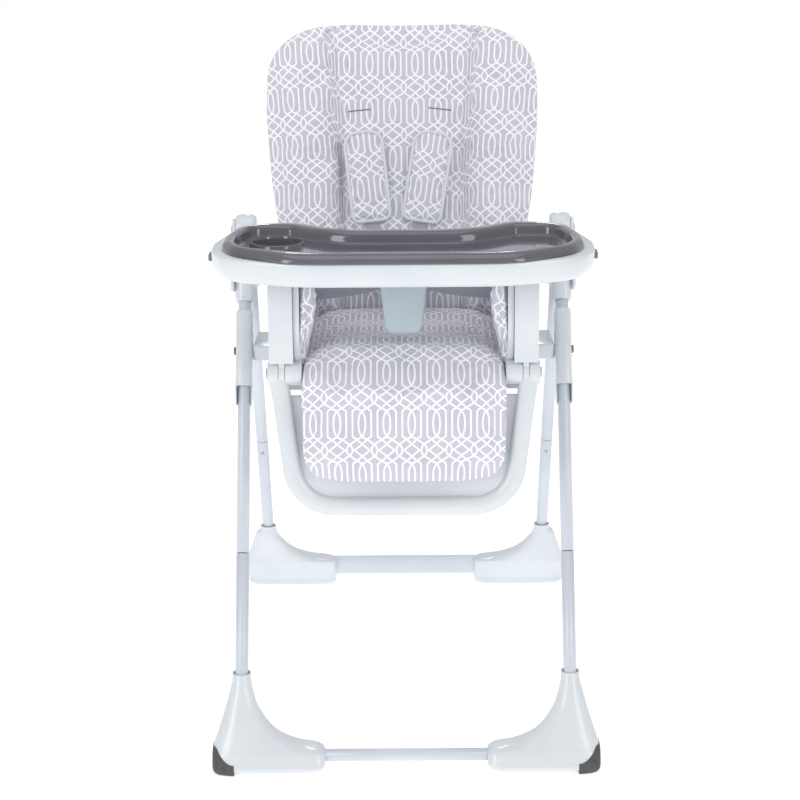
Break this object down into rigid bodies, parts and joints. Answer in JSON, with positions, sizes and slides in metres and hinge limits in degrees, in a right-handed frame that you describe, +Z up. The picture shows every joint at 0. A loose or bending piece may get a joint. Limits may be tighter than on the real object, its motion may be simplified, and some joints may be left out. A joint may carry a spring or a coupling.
{
  "type": "baby high chair",
  "caption": "Folding A-frame high chair with a height-adjustable padded seat, reclining back, hinged footrest, harness and a two-layer lift-off tray.",
  "frame": {"origin": "on the floor, under the middle of the frame's footprint", "axes": "+Z up; -Y toward the front of the chair, where the tray is; +X to the viewer's right from the front"},
  "size_m": [0.5858, 0.8493, 1.0508],
  "materials": {
    "white_plastic": "moulded, semi-gloss, cool white",
    "grey_tray": "moulded, high gloss, warm grey",
    "grey_plastic": "moulded, satin, warm grey",
    "silver_tube": "powder coated steel tube, silver-white",
    "dark_rubber": "moulded, matte, near black",
    "printed_fabric": "woven polyester cover with a white trellis print on grey",
    "webbing": "woven tape, light grey",
    "steel": "zinc plated"
  },
  "bodies": {
    "front_frame": {"front_tube_upper_left": "silver_tube", "front_tube_upper_right": "silver_tube", "front_tube_lower_left": "silver_tube", "front_tube_lower_right": "silver_tube", "front_crossbar": "silver_tube", "front_foot_left": "white_plastic", "front_foot_right": "white_plastic", "front_foot_pad_left": "dark_rubber", "front_foot_pad_right": "dark_rubber", "hub_front_left": "white_plastic", "hub_front_right": "white_plastic", "hub_pin_left": "steel", "hub_pin_right": "steel", "hub_cover_left": "white_plastic", "hub_cover_right": "white_plastic"},
    "rear_frame": {"rear_tube_upper_left": "silver_tube", "rear_tube_upper_right": "silver_tube", "rear_tube_lower_left": "silver_tube", "rear_tube_lower_right": "silver_tube", "rear_crossbar": "silver_tube", "rear_foot_left": "white_plastic", "rear_foot_right": "white_plastic", "hub_rear_left": "white_plastic", "hub_rear_right": "white_plastic"},
    "seat": {"slider_left": "white_plastic", "slider_right": "white_plastic", "seat_base": "white_plastic", "seat_arm_left": "white_plastic", "seat_arm_right": "white_plastic", "seat_pad": "printed_fabric", "side_wing_left": "printed_fabric", "side_wing_right": "printed_fabric", "crotch_strap": "webbing", "waist_strap_left": "webbing", "waist_strap_right": "webbing", "buckle": "grey_plastic"},
    "backrest": {"back_shell": "white_plastic", "back_pad": "printed_fabric", "shoulder_strap_left": "webbing", "shoulder_strap_right": "webbing", "shoulder_pad_left": "printed_fabric", "shoulder_pad_right": "printed_fabric"},
    "recline_handle": {"recline_handle": "grey_plastic"},
    "footrest": {"footrest_frame": "white_plastic", "calf_pad": "printed_fabric", "knee_pin_left": "steel", "knee_pin_right": "steel"},
    "tray": {"tray_base": "white_plastic", "crotch_post": "white_plastic"},
    "tray_top": {"tray_top": "grey_tray"},
    "fold_button_left": {"fold_button_left": "grey_plastic"},
    "snap_button_left": {"snap_button_left": "steel"},
    "height_button_left": {"height_button_left": "grey_plastic"},
    "tray_latch_left": {"tray_latch_left": "grey_plastic"},
    "wheel_left": {"wheel_left": "dark_rubber"},
    "fold_button_right": {"fold_button_right": "grey_plastic"},
    "snap_button_right": {"snap_button_right": "steel"},
    "height_button_right": {"height_button_right": "grey_plastic"},
    "tray_latch_right": {"tray_latch_right": "grey_plastic"},
    "wheel_right": {"wheel_right": "dark_rubber"}
  },
  "joints": [
    {"name": "fold", "type": "hinge", "parent": "front_frame", "child": "rear_frame", "pos_m": [0, 0, 0.748], "axis": [-1, 0, 0], "range_deg": [0, 42]},
    {"name": "seat_height", "type": "slide", "parent": "front_frame", "child": "seat", "axis": [0, -0.4602, -0.8878], "range_m": [0, 0.25]},
    {"name": "recline", "type": "hinge", "parent": "seat", "child": "backrest", "pos_m": [0, 0.069, 0.59], "axis": [-1, 0, 0], "range_deg": [0, 32]},
    {"name": "recline_squeeze", "type": "slide", "parent": "backrest", "child": "recline_handle", "axis": [0, 0.342, 0.9397], "range_m": [0, 0.01], "stiffness_N_per_m": 900},
    {"name": "footrest_raise", "type": "hinge", "parent": "seat", "child": "footrest", "pos_m": [0, -0.25, 0.58], "axis": [-1, 0, 0], "range_deg": [0, 70]},
    {"name": "tray_slide", "type": "slide", "parent": "seat", "child": "tray", "axis": [0, -1, 0], "range_m": [0, 0.07]},
    {"name": "tray_top_lift", "type": "slide", "parent": "tray", "child": "tray_top", "axis": [0, 0, 1], "range_m": [0, 0.05]},
    {"name": "fold_press_left", "type": "slide", "parent": "front_frame", "child": "fold_button_left", "axis": [1, 0, 0], "range_m": [0, 0.003], "stiffness_N_per_m": 400},
    {"name": "snap_press_left", "type": "slide", "parent": "rear_frame", "child": "snap_button_left", "axis": [0, 0.8878, 0.4602], "range_m": [0, 0.002], "stiffness_N_per_m": 400},
    {"name": "height_press_left", "type": "slide", "parent": "seat", "child": "height_button_left", "axis": [1, 0, 0], "range_m": [0, 0.002], "stiffness_N_per_m": 400},
    {"name": "latch_press_left", "type": "slide", "parent": "tray", "child": "tray_latch_left", "axis": [1, 0, 0], "range_m": [0, 0.002], "stiffness_N_per_m": 400},
    {"name": "wheel_spin_left", "type": "hinge", "parent": "rear_frame", "child": "wheel_left", "pos_m": [-0.266, 0.40127, 0.0135], "axis": [1, 0, 0], "continuous": true},
    {"name": "fold_press_right", "type": "slide", "parent": "front_frame", "child": "fold_button_right", "axis": [-1, 0, 0], "range_m": [0, 0.003], "stiffness_N_per_m": 400},
    {"name": "snap_press_right", "type": "slide", "parent": "rear_frame", "child": "snap_button_right", "axis": [0, 0.8878, 0.4602], "range_m": [0, 0.002], "stiffness_N_per_m": 400},
    {"name": "height_press_right", "type": "slide", "parent": "seat", "child": "height_button_right", "axis": [-1, 0, 0], "range_m": [0, 0.002], "stiffness_N_per_m": 400},
    {"name": "latch_press_right", "type": "slide", "parent": "tray", "child": "tray_latch_right", "axis": [-1, 0, 0], "range_m": [0, 0.002], "stiffness_N_per_m": 400},
    {"name": "wheel_spin_right", "type": "hinge", "parent": "rear_frame", "child": "wheel_right", "pos_m": [0.266, 0.40127, 0.0135], "axis": [1, 0, 0], "continuous": true}
  ]
}
